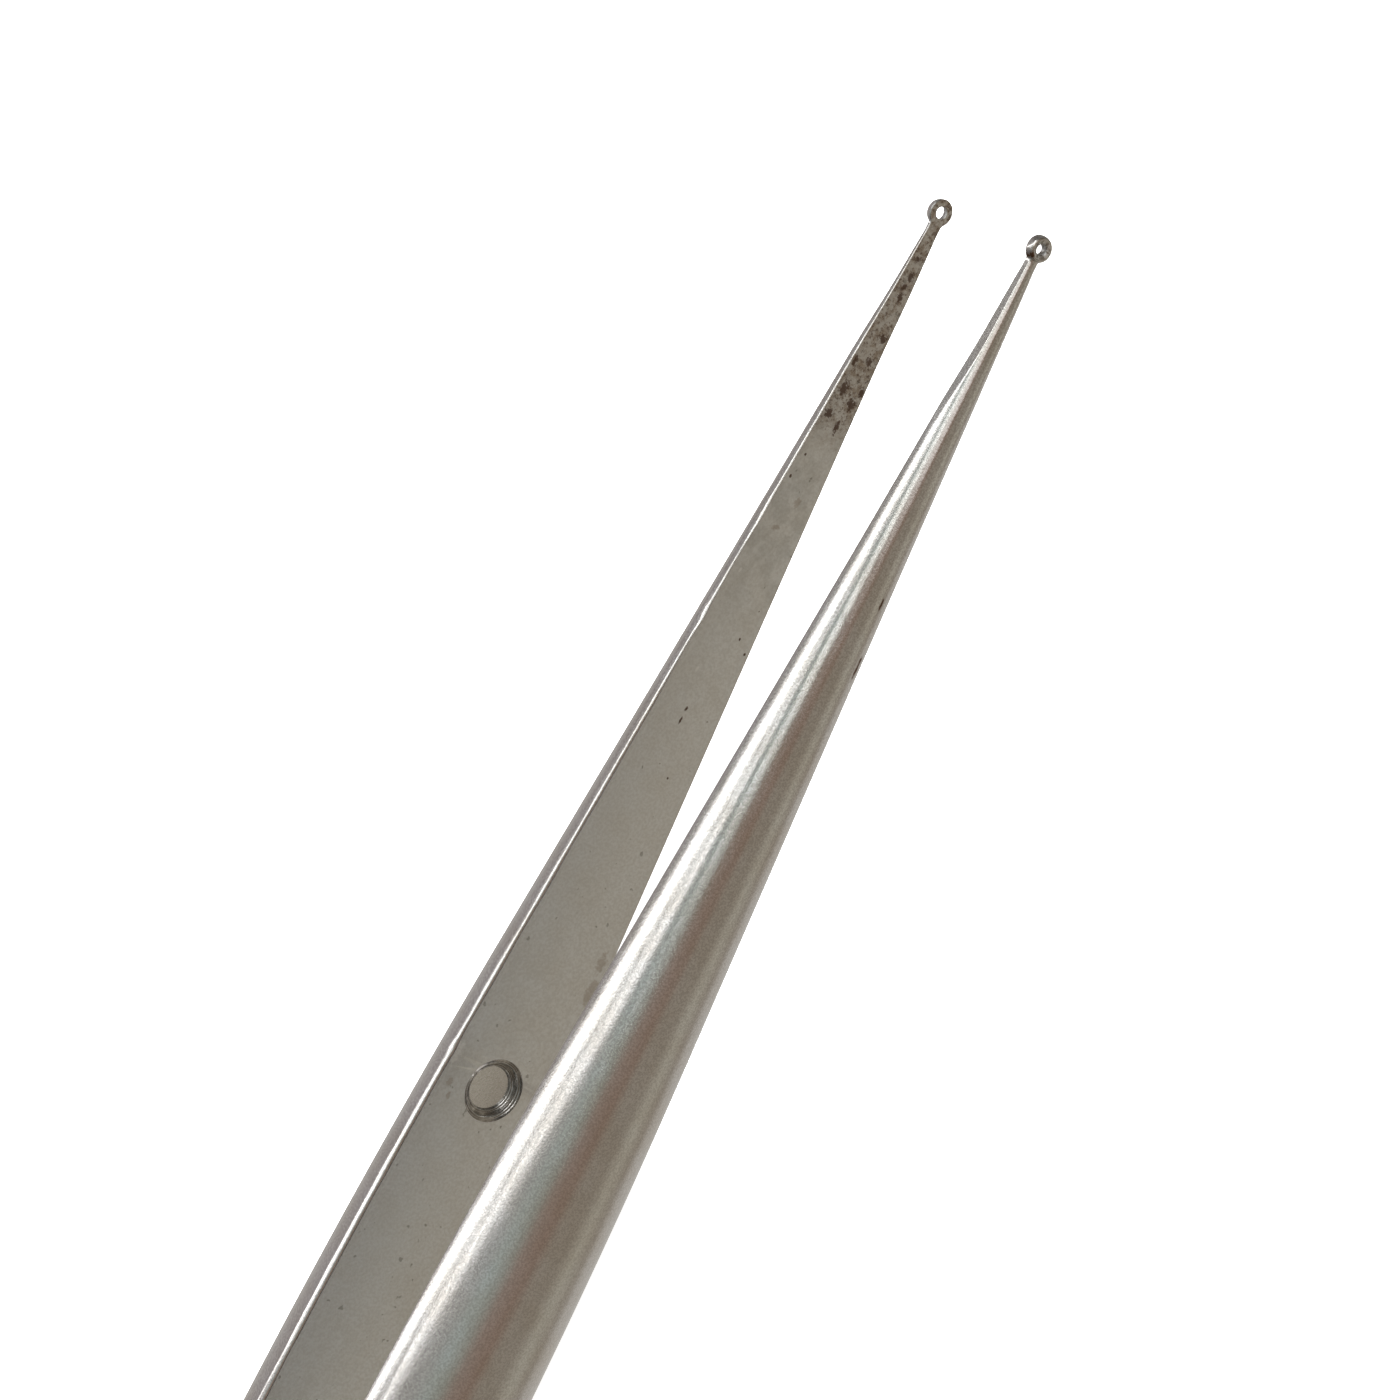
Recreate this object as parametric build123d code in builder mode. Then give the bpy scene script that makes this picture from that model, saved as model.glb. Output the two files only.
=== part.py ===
from build123d import *

import math
import os

# Ring-tip spring forceps with round handles, lying on the side of its arms.
#
# Two solid half-round arms taper to small rings. Each arm is riveted to a flat leaf spring. The two
# leaves are riveted, with a spacer between them, between two cheeks that make up the round tail.
# Squeezing the grips bends the leaves until the rings meet. A stop stud on the right arm then stands
# in a dished seat in the left arm, so that the rings can't be crushed.
#
# Frame: +X towards the tips, +Y towards the left arm, +Z up. The origin is on the surface that the
# forceps lie on, under the middle of their length. All sizes are in millimetres. A station is a
# distance behind the centres of the rings.

# --- overall ---
LENGTH = 180.0
HANDLE_RADIUS = 4.5

# --- ring tips ---
RING_RADIUS = 0.75
RING_HOLE_RADIUS = 0.3
RING_HEIGHT = 0.5
RING_DISH = 0.15
RING_ROUNDING = 0.26

# --- arms, as they stand at rest ---
HALF_OPENING = 4.4
SPLAY = 0.37
NECK_STATION = 1.2
NECK_RADIUS = 0.42
TAPER = 3.84
TAPER_BLEND_RADIUS = 500.0
ARM_END = 114.0
ARM_END_CHAMFER = 0.8

# --- grip grooves ---
GRIP_START = 80.0
GROOVE_PITCH = 1.1
GROOVE_COUNT = 20
GROOVE_DEPTH = 0.16
GROOVE_HALF_WIDTH = 0.2

# --- stop stud and its seat ---
STOP_STATION = 52.8
SEAT_RIM_RADIUS = 1.8
SEAT_FLOOR_RADIUS = 1.2
SEAT_DEPTH = 0.55
SEAT_WALL_SAG = 0.06
STUD_RADIUS = 0.9
STUD_ROUNDING = 0.25
STUD_HOLE_DEPTH = 2.2
STOP_CLEARANCE = 0.05
TIP_CLEARANCE = 0.02

# --- leaf springs ---
LEAF_THICKNESS = 0.8
LEAF_WIDTH = 6.0
LEAF_FRONT = 102.0
LEAF_FRONT_BEND = 120.0
LEAF_REAR_BEND = 144.0
LEAF_BEND_RADIUS = 100.0
LEAF_REAR = 175.0
LEAF_CLEARANCE = 0.03

# --- rivets that hold each leaf to its arm ---
ARM_RIVET_STATIONS = (104.6, 110.2)
ARM_RIVET_RADIUS = 0.8

# --- tail ---
TAIL_FRONT = 150.0
TAIL_FRONT_CHAMFER = 0.6
TAIL_END_ROUNDING = 1.5
SPACER_THICKNESS = 2.0
TAIL_RIVET_STATIONS = (157.0, 169.0)
TAIL_RIVET_RADIUS = 1.0

# --- worked out from the sizes above ---
RING_X = LENGTH / 2 - RING_RADIUS
RING_MIDDLE_RADIUS = (RING_RADIUS + RING_HOLE_RADIUS) / 2
TAIL_END = LENGTH - RING_RADIUS
TAPER_END = NECK_STATION + (HANDLE_RADIUS - NECK_RADIUS) / math.tan(math.radians(TAPER))
PIVOT_STATION = (ARM_END + TAIL_FRONT) / 2
TAIL_LEAF_Y = SPACER_THICKNESS / 2 + LEAF_THICKNESS / 2
MIDDLE = Plane(origin=(RING_X, 0, HANDLE_RADIUS), x_dir=(-1, 0, 0), z_dir=(0, 1, 0))


def flat_y(station):
    """Distance from the middle plane to an arm's inner flat, at rest."""
    return HALF_OPENING - station * math.tan(math.radians(SPLAY))


def arm_leaf_y(station):
    """Distance from the middle plane to the middle of a leaf, where it is let into its arm."""
    return flat_y(station) + LEAF_THICKNESS / 2


def pivot_y():
    """Distance from the middle plane to the point that an arm swings about, halfway along its leaf."""
    return (arm_leaf_y(LEAF_FRONT_BEND) + TAIL_LEAF_Y) / 2


def closed_angle():
    """Swing of each arm, in radians, that brings the front edge of its ring to the middle plane."""
    ahead = PIVOT_STATION + RING_RADIUS
    aside = flat_y(-RING_RADIUS) - pivot_y()
    reach = math.hypot(ahead, aside)
    return math.atan2(aside, ahead) + math.asin((pivot_y() - TIP_CLEARANCE) / reach)


def stud_height():
    """Height of the stud over its arm's flat, which fills the closed gap down to the seat's floor."""
    swing = closed_angle()
    ahead = PIVOT_STATION - STOP_STATION
    aside = flat_y(STOP_STATION) - pivot_y()
    half_gap = pivot_y() + aside * math.cos(swing) - ahead * math.sin(swing)
    return 2 * half_gap + SEAT_DEPTH - STOP_CLEARANCE


def arm_plane(side, station=0.0):
    """Plane of an arm's inner flat: x runs back along the arm, z out of the pair. Side is 1 or -1."""
    lean = math.radians(SPLAY)
    return Plane(
        origin=(RING_X - station, side * flat_y(station), HANDLE_RADIUS),
        x_dir=(-math.cos(lean), -side * math.sin(lean), 0),
        z_dir=(-math.sin(lean), side * math.cos(lean), 0),
    )


def upright(plane):
    """The plane across a flat: x as the flat's own x, y out of the pair."""
    return Plane(origin=plane.origin, x_dir=plane.x_dir, z_dir=-plane.y_dir)


def finish(builder, label):
    """Names a finished sub-part and writes its STEP file."""
    builder.part.label = label
    export_step(builder.part, f"parts/{label}.step")


def make_arm(side, label):
    """Half-round arm with its ring tip. The left arm has the stud's seat, the right arm its hole."""
    flat = arm_plane(side)
    along = Axis(flat.origin, flat.x_dir)
    through_ring = Axis(flat.origin, flat.z_dir)
    stop = arm_plane(side, STOP_STATION)
    with BuildPart() as arm:
        # cone, blend and handle
        with BuildSketch(flat):
            with BuildLine():
                outline = FilletPolyline(
                    (NECK_STATION, NECK_RADIUS),
                    (TAPER_END, HANDLE_RADIUS),
                    (ARM_END - ARM_END_CHAMFER, HANDLE_RADIUS),
                    radius=TAPER_BLEND_RADIUS,
                )
                Polyline(
                    outline @ 1,
                    (ARM_END, HANDLE_RADIUS - ARM_END_CHAMFER),
                    (ARM_END, 0),
                    (RING_HOLE_RADIUS, 0),
                    (RING_HOLE_RADIUS, NECK_RADIUS),
                    outline @ 0,
                )
            make_face()
        revolve(axis=along, revolution_arc=180)
        # ring, flat inside, rounded outside and dished towards its hole
        with BuildSketch(flat):
            Circle(RING_MIDDLE_RADIUS)
        extrude(amount=2 * RING_HEIGHT, mode=Mode.SUBTRACT)
        with BuildSketch(upright(flat)):
            with Locations((RING_HOLE_RADIUS, 0)):
                Rectangle(RING_RADIUS - RING_HOLE_RADIUS, RING_HEIGHT, align=Align.MIN)
            fillet(vertices().group_by(Axis.Y)[-1].sort_by(Axis.X)[-1], RING_ROUNDING)
            chamfer(vertices().group_by(Axis.X)[0].sort_by(Axis.Y)[-1], RING_DISH)
        revolve(axis=through_ring)
        # grip grooves
        with BuildSketch(flat):
            for number in range(GROOVE_COUNT):
                station = GRIP_START + number * GROOVE_PITCH
                with BuildLine():
                    Polyline(
                        (station - 2 * GROOVE_HALF_WIDTH, HANDLE_RADIUS + GROOVE_DEPTH),
                        (station, HANDLE_RADIUS - GROOVE_DEPTH),
                        (station + 2 * GROOVE_HALF_WIDTH, HANDLE_RADIUS + GROOVE_DEPTH),
                        close=True,
                    )
                make_face()
        revolve(axis=along, revolution_arc=180, mode=Mode.SUBTRACT)
        # seat of the stud, or the hole that the stud is pressed into
        if side > 0:
            with BuildSketch(upright(stop)):
                with BuildLine():
                    wall = SagittaArc((SEAT_RIM_RADIUS, 0), (SEAT_FLOOR_RADIUS, SEAT_DEPTH), SEAT_WALL_SAG)
                    Polyline(wall @ 1, (0, SEAT_DEPTH), (0, 0), wall @ 0)
                make_face()
            revolve(axis=Axis(stop.origin, stop.z_dir), mode=Mode.SUBTRACT)
        else:
            with BuildSketch(stop):
                Circle(STUD_RADIUS)
            extrude(amount=STUD_HOLE_DEPTH, mode=Mode.SUBTRACT)
        # rebate for the leaf, and the rivet holes
        with BuildSketch(arm_plane(side, LEAF_FRONT - LEAF_CLEARANCE)):
            Rectangle(
                ARM_END - LEAF_FRONT + 1,
                LEAF_WIDTH + 2 * LEAF_CLEARANCE,
                align=(Align.MIN, Align.CENTER),
            )
        extrude(amount=LEAF_THICKNESS + LEAF_CLEARANCE, mode=Mode.SUBTRACT)
        for station in ARM_RIVET_STATIONS:
            with BuildSketch(arm_plane(side, station)):
                Circle(ARM_RIVET_RADIUS)
            extrude(amount=2 * HANDLE_RADIUS, mode=Mode.SUBTRACT)
    finish(arm, label)


def make_stop_stud():
    """Short stud pressed into the right arm's flat, with a rounded end towards the left arm."""
    stop = arm_plane(-1, STOP_STATION)
    with BuildPart() as stop_stud:
        with BuildSketch(stop):
            Circle(STUD_RADIUS)
        extrude(amount=STUD_HOLE_DEPTH)
        with BuildSketch(stop):
            Circle(STUD_RADIUS)
        extrude(amount=-stud_height())
        fillet(stop_stud.edges().filter_by(GeomType.CIRCLE).sort_by(Axis.Y)[-1], STUD_ROUNDING)
    finish(stop_stud, "stop_stud")


def make_leaf(side, label):
    """Flat spring: let into its arm in front, bent twice, and clamped in the tail."""
    with BuildPart() as leaf:
        with BuildSketch(Plane.XY.offset(HANDLE_RADIUS - LEAF_WIDTH / 2)):
            with BuildLine():
                FilletPolyline(
                    (RING_X - LEAF_FRONT, side * arm_leaf_y(LEAF_FRONT)),
                    (RING_X - LEAF_FRONT_BEND, side * arm_leaf_y(LEAF_FRONT_BEND)),
                    (RING_X - LEAF_REAR_BEND, side * TAIL_LEAF_Y),
                    (RING_X - LEAF_REAR, side * TAIL_LEAF_Y),
                    radius=LEAF_BEND_RADIUS,
                )
            trace(line_width=LEAF_THICKNESS)
        extrude(amount=LEAF_WIDTH)
        for station in ARM_RIVET_STATIONS:
            with BuildSketch(arm_plane(side, station)):
                Circle(ARM_RIVET_RADIUS + LEAF_CLEARANCE)
            extrude(amount=2 * LEAF_THICKNESS, both=True, mode=Mode.SUBTRACT)
        for station in TAIL_RIVET_STATIONS:
            with BuildSketch(MIDDLE):
                with Locations((station, 0)):
                    Circle(TAIL_RIVET_RADIUS)
            extrude(amount=HANDLE_RADIUS, both=True, mode=Mode.SUBTRACT)
    finish(leaf, label)


def make_leaf_rivets(side, label):
    """Two rivets through a leaf and its arm, dressed flush with the arm's round outside."""
    flat = arm_plane(side)
    with BuildPart() as leaf_rivets:
        for station in ARM_RIVET_STATIONS:
            with BuildSketch(arm_plane(side, station)):
                Circle(ARM_RIVET_RADIUS)
            extrude(amount=2 * HANDLE_RADIUS)
        with BuildSketch(flat):
            with Locations((LEAF_FRONT, 0)):
                Rectangle(ARM_END - LEAF_FRONT, HANDLE_RADIUS, align=Align.MIN)
        revolve(axis=Axis(flat.origin, flat.x_dir), revolution_arc=180, mode=Mode.INTERSECT)
    finish(leaf_rivets, label)


def make_tail_piece(label, lowest_y, highest_y):
    """Slice of the round tail between two distances from the middle plane."""
    with BuildPart() as piece:
        with BuildSketch(MIDDLE):
            with Locations((TAIL_FRONT, 0)):
                Rectangle(TAIL_END - TAIL_FRONT, HANDLE_RADIUS, align=Align.MIN)
            chamfer(vertices().group_by(Axis.Y)[-1].sort_by(Axis.X)[0], TAIL_FRONT_CHAMFER)
            fillet(vertices().group_by(Axis.Y)[-1].sort_by(Axis.X)[-1], TAIL_END_ROUNDING)
        revolve(axis=Axis(MIDDLE.origin, MIDDLE.x_dir))
        split(bisect_by=Plane.XZ.offset(-lowest_y), keep=Keep.BOTTOM)
        split(bisect_by=Plane.XZ.offset(-highest_y), keep=Keep.TOP)
        for station in TAIL_RIVET_STATIONS:
            with BuildSketch(MIDDLE):
                with Locations((station, 0)):
                    Circle(TAIL_RIVET_RADIUS)
            extrude(amount=2 * HANDLE_RADIUS, both=True, mode=Mode.SUBTRACT)
        # slots that the two leaves lie in, which leave the spacer whole
        for side in (1, -1):
            with BuildSketch(MIDDLE.offset(side * TAIL_LEAF_Y)):
                with Locations((TAIL_FRONT, 0)):
                    Rectangle(LEAF_REAR - TAIL_FRONT, LEAF_WIDTH, align=(Align.MIN, Align.CENTER))
            extrude(amount=LEAF_THICKNESS / 2, both=True, mode=Mode.SUBTRACT)
    finish(piece, label)


def make_tail_rivets():
    """Two cross rivets through the tail, dressed flush with its round outside."""
    with BuildPart() as tail_rivets:
        for station in TAIL_RIVET_STATIONS:
            with BuildSketch(MIDDLE):
                with Locations((station, 0)):
                    Circle(TAIL_RIVET_RADIUS)
            extrude(amount=2 * HANDLE_RADIUS, both=True)
        with BuildSketch(MIDDLE):
            with Locations((TAIL_FRONT, 0)):
                Rectangle(TAIL_END - TAIL_FRONT, HANDLE_RADIUS, align=Align.MIN)
        revolve(axis=Axis(MIDDLE.origin, MIDDLE.x_dir), mode=Mode.INTERSECT)
    finish(tail_rivets, "tail_rivets")


os.makedirs("parts", exist_ok=True)
for name, side in (("left", 1), ("right", -1)):
    make_arm(side, f"{name}_arm")
    make_leaf(side, f"{name}_leaf")
    make_leaf_rivets(side, f"{name}_leaf_rivets")
make_stop_stud()
make_tail_piece("tail_left_cheek", SPACER_THICKNESS / 2, HANDLE_RADIUS)
make_tail_piece("tail_right_cheek", -HANDLE_RADIUS, -SPACER_THICKNESS / 2)
make_tail_piece("tail_spacer", -SPACER_THICKNESS / 2, SPACER_THICKNESS / 2)
make_tail_rivets()

print("pivot x", RING_X - PIVOT_STATION, "pivot y", pivot_y(), "z", HANDLE_RADIUS)
print("closed angle, degrees", math.degrees(closed_angle()), "stud height", stud_height())
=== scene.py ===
"""Looks of the ring-tip forceps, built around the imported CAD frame.

The arms, the tail and the leaf springs get finer meshes than the CAD nodes that they replace: broken
edges, dished seat, ring, grip grooves. The rivets and the stud stay as CAD nodes. Sizes are in
millimetres, and points become metres in the frame's own axes when a mesh is made. A station is a
distance behind the centres of the rings.
"""

import math

import bpy
from mathutils import Matrix, Vector, noise


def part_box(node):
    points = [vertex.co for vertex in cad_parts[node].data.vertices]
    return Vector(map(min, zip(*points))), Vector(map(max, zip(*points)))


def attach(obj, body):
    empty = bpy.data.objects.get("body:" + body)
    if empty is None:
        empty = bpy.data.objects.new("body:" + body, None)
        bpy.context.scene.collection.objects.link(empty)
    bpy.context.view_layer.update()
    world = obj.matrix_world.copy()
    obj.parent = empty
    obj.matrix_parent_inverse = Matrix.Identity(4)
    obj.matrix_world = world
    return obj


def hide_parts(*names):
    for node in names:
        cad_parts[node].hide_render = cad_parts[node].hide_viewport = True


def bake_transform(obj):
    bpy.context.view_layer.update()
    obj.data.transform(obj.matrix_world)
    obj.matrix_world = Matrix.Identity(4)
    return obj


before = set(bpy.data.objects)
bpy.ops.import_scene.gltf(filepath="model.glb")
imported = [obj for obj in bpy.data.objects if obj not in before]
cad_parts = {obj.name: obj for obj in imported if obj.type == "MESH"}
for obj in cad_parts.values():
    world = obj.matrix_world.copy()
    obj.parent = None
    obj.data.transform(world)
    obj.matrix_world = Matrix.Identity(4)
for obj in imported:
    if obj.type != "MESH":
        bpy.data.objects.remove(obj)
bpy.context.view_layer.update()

MM = 0.001
UP = Vector((0, 0, 1))

# --- sizes of the object, from the frame where it has them ---
arm_low, arm_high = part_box("left_arm")
HANDLE_RADIUS = (arm_high[2] - arm_low[2]) / 2 / MM
RING_RADIUS = 0.75
RING_HEIGHT = 0.5
RING_CREST = 0.54
RING_X = arm_high[0] / MM - RING_RADIUS
AXIS_Z = (arm_high[2] + arm_low[2]) / 2 / MM
ARM_END = RING_X - arm_low[0] / MM
SPLAY = math.radians(0.37)
HALF_OPENING = arm_low[1] / MM + ARM_END * math.tan(SPLAY)
NECK_STATION = 1.2
NECK_RADIUS = 0.42
TAPER = math.radians(3.84)
TAPER_BLEND_RADIUS = 500.0
ARM_END_CHAMFER = 0.8
GRIP_START = 80.0
GROOVE_PITCH = 1.1
GROOVE_COUNT = 20
GROOVE_DEPTH = 0.16
GROOVE_HALF_WIDTH = 0.2
stud_low, stud_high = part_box("stop_stud")
STOP_STATION = RING_X - (stud_low[0] + stud_high[0]) / 2 / MM
SEAT_RIM_RADIUS = 1.8
SEAT_FLOOR_RADIUS = 1.2
SEAT_DEPTH = 0.55
LEAF_THICKNESS = 0.8
LEAF_WIDTH = 6.0
LEAF_FRONT = 102.0
LEAF_FRONT_BEND = 120.0
LEAF_REAR_BEND = 144.0
LEAF_REAR = 175.0
LEAF_BEND_RADIUS = 100.0
ARM_RIVET_STATIONS = (104.6, 110.2)
ARM_RIVET_RADIUS = 0.8
TAIL_FRONT = 150.0
TAIL_FRONT_CHAMFER = 0.6
TAIL_END_ROUNDING = 1.5
TAIL_RIVET_STATIONS = (157.0, 169.0)
TAIL_RIVET_RADIUS = 1.0
spacer_low, spacer_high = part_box("tail_spacer")
TAIL_END = RING_X - spacer_low[0] / MM
SPACER_HALF = spacer_high[1] / MM

# --- fine shape that only the visual meshes have ---
EDGE_ROLL = (0.03, 0.14)
EDGE_TURN = 0.04
EDGE_FACET = 0.085
EDGE_FACET_WANDER = 0.05
EDGE_FADE = 0.27
EDGE_PLAIN = 0.04
EDGE_WORN = ((18.6, 1.1, 0.07), (25.0, 0.6, 0.12), (51.6, 0.3, 0.1))
NECK_FILLET = 0.4
TIP_DROOP = 0.1
TIP_DROOP_FADE = (4.0, 9.0)
TIP_STOUTER = 0.025
TIP_STOUTER_RISE = (0.5, 2.0)
TIP_STOUTER_FADE = (8.0, 20.0)
TIP_FACET_ANGLE = math.radians(14)
TIP_FACET_HALF = math.radians(30)
TIP_FACET_FADE = (5.0, 12.0)
SEAT_RIDGES = 2
SEAT_RIDGE_DEPTH = 2.0
SEAT_STEPS = 42
SEAT_FLOOR_DISH = 0.04
ROUND_SEGMENTS = 72
SECTION_STEP = 0.4
FLAT_SUPPORT = 0.03
NECK_LIFT = 0.003
RING_SOFT = 0.04
RIVET_GAP = 0.015
REBATE_GAP = 0.03
SLOT_GAP = 0.02
LEAF_ROUNDING = 0.12
TAIL_EDGE_BREAK = 0.07
PAST = 1.0

TAPER_END = NECK_STATION + (HANDLE_RADIUS - NECK_RADIUS) / math.tan(TAPER)
BLEND_HALF = TAPER_BLEND_RADIUS * math.tan(TAPER / 2)
FILLET_START = math.sqrt((RING_RADIUS + NECK_FILLET) ** 2 - (NECK_RADIUS + NECK_FILLET) ** 2)
TAIL_LEAF_Y = SPACER_HALF + LEAF_THICKNESS / 2


# ------------------------------------------------------------------ places

def flat_y(station):
    """Distance from the middle plane to an arm's inner flat."""
    return HALF_OPENING - station * math.tan(SPLAY)


def ease(value, start, end):
    """0 before start, 1 after end, smooth between them."""
    share = min(1.0, max(0.0, (value - start) / (end - start)))
    return share * share * (3 - 2 * share)


def on_arm(side, station, across, out):
    """Point given by an arm's own station, height over its axis and distance out of its flat."""
    if side > 0:
        across -= TIP_DROOP * (1 - ease(station, *TIP_DROOP_FADE))
    x = RING_X - station * math.cos(SPLAY) - out * math.sin(SPLAY)
    y = side * (HALF_OPENING - station * math.sin(SPLAY) + out * math.cos(SPLAY))
    return Vector((x, y, AXIS_Z + across))


def arm_radius(station):
    """Radius of the half-round section: fillet to the ring, cone, long blend, handle, rear chamfer."""
    blend_end = TAPER_END + BLEND_HALF
    if station < FILLET_START:
        return NECK_RADIUS + NECK_FILLET - math.sqrt(NECK_FILLET ** 2 - (FILLET_START - station) ** 2)
    if station < TAPER_END - BLEND_HALF:
        radius = NECK_RADIUS + (station - NECK_STATION) * math.tan(TAPER)
    elif station < blend_end:
        radius = HANDLE_RADIUS - (blend_end - station) ** 2 / (2 * TAPER_BLEND_RADIUS)
    else:
        radius = HANDLE_RADIUS
    groove = round((station - GRIP_START) / GROOVE_PITCH)
    if 0 <= groove < GROOVE_COUNT:
        off_centre = abs(station - GRIP_START - groove * GROOVE_PITCH)
        radius -= GROOVE_DEPTH * max(0.0, 1 - off_centre / GROOVE_HALF_WIDTH)
    radius -= max(0.0, station - (ARM_END - ARM_END_CHAMFER))
    return max(radius, NECK_RADIUS)


# ------------------------------------------------------------------ mesh tools

def new_piece(name, points, faces, material):
    """Mesh object from points in millimetres."""
    mesh = bpy.data.meshes.new(name)
    mesh.from_pydata([tuple(Vector(p) * MM) for p in points], [], faces)
    mesh.validate()
    mesh.materials.append(material)
    piece = bpy.data.objects.new(name, mesh)
    bpy.context.scene.collection.objects.link(piece)
    return piece


def bake(piece):
    """Applies every modifier of a piece to its mesh."""
    graph = bpy.context.evaluated_depsgraph_get()
    mesh = bpy.data.meshes.new_from_object(piece.evaluated_get(graph))
    piece.modifiers.clear()
    piece.data = mesh


def combine(piece, tool, operation):
    """Joins, cuts or intersects a piece with a tool, which is used up."""
    modifier = piece.modifiers.new("combine", "BOOLEAN")
    modifier.operation = operation
    modifier.object = tool
    modifier.solver = "EXACT"
    modifier.material_mode = "TRANSFER"
    bake(piece)
    bpy.data.objects.remove(tool)


def shade(piece, sharp_degrees=32, flat_weight=50):
    """Smooth shading that keeps real edges crisp. More flat weight keeps large flats flatter."""
    piece.data.shade_smooth()
    piece.data.set_sharp_from_angle(angle=math.radians(sharp_degrees))
    weighted = piece.modifiers.new("weighted", "WEIGHTED_NORMAL")
    weighted.keep_sharp = True
    weighted.weight = flat_weight
    bake(piece)


def loft(name, sections, material):
    """Closed body through rings of points that all have the same count."""
    count = len(sections[0])
    points = [p for section in sections for p in section]
    faces = []
    for i in range(len(sections) - 1):
        for j in range(count):
            k = (j + 1) % count
            faces.append((i * count + j, i * count + k, (i + 1) * count + k, (i + 1) * count + j))
    faces.append(tuple(range(count))[::-1])
    faces.append(tuple((len(sections) - 1) * count + j for j in range(count)))
    piece = new_piece(name, points, faces, material)
    face_outwards(piece)
    return piece


def face_outwards(piece):
    """Turns the mesh inside out if its faces look inwards."""
    mesh = piece.data
    mesh.calc_loop_triangles()
    volume = 0.0
    for triangle in mesh.loop_triangles:
        a, b, c = (mesh.vertices[v].co for v in triangle.vertices)
        volume += a.dot(b.cross(c))
    if volume < 0:
        mesh.flip_normals()


def lathe(name, profile, origin, axis, radial, material, segments=96):
    """Body turned about an axis from (radius, height) points. Both ends of the profile touch the axis."""
    side = axis.cross(radial)
    points = [origin + axis * profile[0][1]]
    for radius, height in profile[1:-1]:
        for j in range(segments):
            angle = 2 * math.pi * j / segments
            direction = radial * math.cos(angle) + side * math.sin(angle)
            points.append(origin + direction * radius + axis * height)
    points.append(origin + axis * profile[-1][1])
    rings = len(profile) - 2
    faces = []
    for j in range(segments):
        k = (j + 1) % segments
        faces.append((0, 1 + k, 1 + j))
        for i in range(rings - 1):
            a, b = 1 + i * segments, 1 + (i + 1) * segments
            faces.append((a + j, a + k, b + k, b + j))
        last = 1 + (rings - 1) * segments
        faces.append((last + j, last + k, len(points) - 1))
    piece = new_piece(name, points, faces, material)
    face_outwards(piece)
    return piece


def ring_body(name, profile, origin, axis, radial, material, segments=96):
    """Body with a hole, turned about an axis from a closed loop of (radius, height) points."""
    side = axis.cross(radial)
    count = len(profile)
    points = []
    for j in range(segments):
        angle = 2 * math.pi * j / segments
        direction = radial * math.cos(angle) + side * math.sin(angle)
        points += [origin + direction * radius + axis * height for radius, height in profile]
    faces = []
    for j in range(segments):
        a, b = j * count, ((j + 1) % segments) * count
        for i in range(count):
            k = (i + 1) % count
            faces.append((a + i, b + i, b + k, a + k))
    piece = new_piece(name, points, faces, material)
    face_outwards(piece)
    return piece


def drill(piece, start, axis, radius, depth, material):
    """Cuts a rivet's hole, with a little room round the rivet."""
    wide = radius + RIVET_GAP
    profile = [(0, 0), (wide, 0), (wide, depth), (0, depth)]
    combine(piece, lathe("hole", profile, start, axis, UP, material, 48), "DIFFERENCE")


def slab(name, low, high, material):
    """Cutting block between two corners, for booleans only."""
    xs, ys, zs = zip(low, high)
    points = [(x, y, z) for x in xs for y in ys for z in zs]
    faces = [(0, 1, 3, 2), (4, 6, 7, 5), (0, 4, 5, 1), (2, 3, 7, 6), (0, 2, 6, 4), (1, 5, 7, 3)]
    piece = new_piece(name, points, faces, material)
    face_outwards(piece)
    return piece


# ------------------------------------------------------------------ node tools

def new_material(name):
    """Material with its Principled shader, and a vector in millimetres in the frame's axes."""
    material = bpy.data.materials.new(name)
    material.use_nodes = True
    tree = material.node_tree
    shader = next(n for n in tree.nodes if n.type == "BSDF_PRINCIPLED")
    coordinates = tree.nodes.new("ShaderNodeTexCoord")
    scale = tree.nodes.new("ShaderNodeVectorMath")
    scale.operation = "SCALE"
    scale.inputs["Scale"].default_value = 1 / MM
    tree.links.new(coordinates.outputs["Object"], scale.inputs[0])
    return material, tree, shader, scale.outputs["Vector"]


def put(tree, socket, value):
    """Links a socket's value, or sets it when it is a plain number, colour or vector."""
    if isinstance(value, bpy.types.NodeSocket):
        tree.links.new(value, socket)
    else:
        socket.default_value = value


def math_node(tree, operation, a, b=0.0):
    """One step of arithmetic on numbers or sockets."""
    made = tree.nodes.new("ShaderNodeMath")
    made.operation = operation
    put(tree, made.inputs[0], a)
    put(tree, made.inputs[1], b)
    return made.outputs[0]


def noise_node(tree, vector, scale, detail=4.0, rough=0.55, stretch=(1, 1, 1), distortion=0.0):
    """Noise with a scale in features per millimetre. Stretch multiplies the scale along each axis."""
    mapping = tree.nodes.new("ShaderNodeMapping")
    mapping.inputs["Scale"].default_value = stretch
    tree.links.new(vector, mapping.inputs["Vector"])
    made = tree.nodes.new("ShaderNodeTexNoise")
    tree.links.new(mapping.outputs[0], made.inputs["Vector"])
    made.inputs["Scale"].default_value = scale
    made.inputs["Detail"].default_value = detail
    made.inputs["Roughness"].default_value = rough
    made.inputs["Distortion"].default_value = distortion
    return made.outputs["Fac"]


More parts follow.
